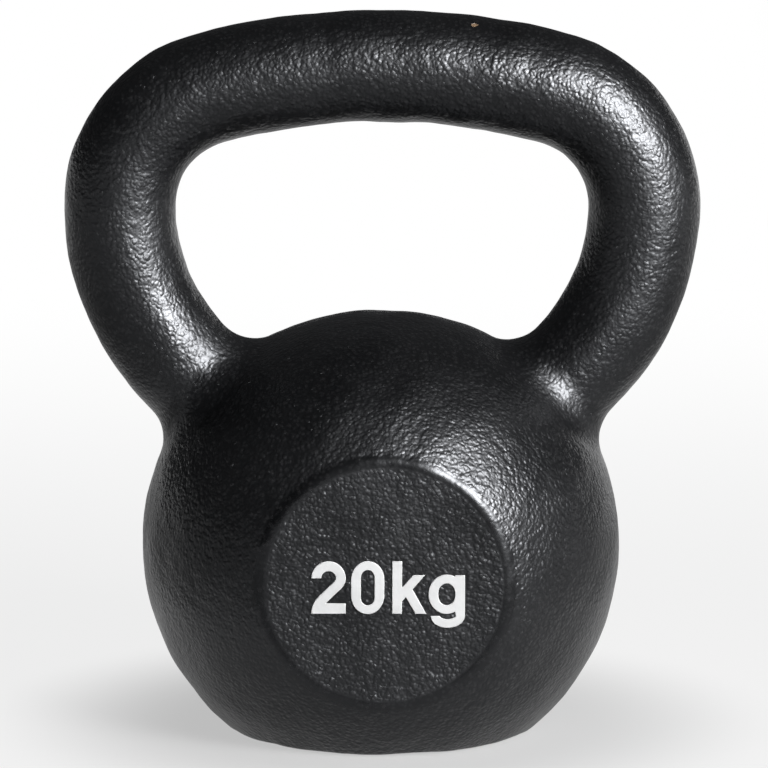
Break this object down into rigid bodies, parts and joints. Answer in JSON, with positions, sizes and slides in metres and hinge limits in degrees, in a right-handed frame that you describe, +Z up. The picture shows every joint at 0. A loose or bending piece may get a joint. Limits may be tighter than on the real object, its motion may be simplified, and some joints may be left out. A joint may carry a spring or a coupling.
{
  "type": "kettlebell",
  "caption": "Cast-iron kettlebell with a wide loop handle, flat faces and a flat base, swung and lifted by hand for exercise.",
  "frame": {"origin": "centre of the underside, on the surface that the kettlebell stands on", "axes": "+Z up through the middle of the grip, +X along the grip, -Y out of the front face with the weight mark"},
  "size_m": [0.225, 0.1466, 0.2569],
  "materials": {
    "casting": "satin",
    "bar": "satin",
    "weld": "satin",
    "steel": "satin",
    "fibre": "matte",
    "rubber": "matte",
    "enamel": "satin"
  },
  "bodies": {
    "root": {"ball": "casting", "handle": "bar", "left_weld": "weld", "right_weld": "weld", "trim_slug": "steel", "trim_plug": "steel", "plug_washer": "fibre", "base_pad": "rubber", "mark_2": "enamel", "mark_0": "enamel", "mark_k": "enamel", "mark_g": "enamel"}
  },
  "joints": []
}
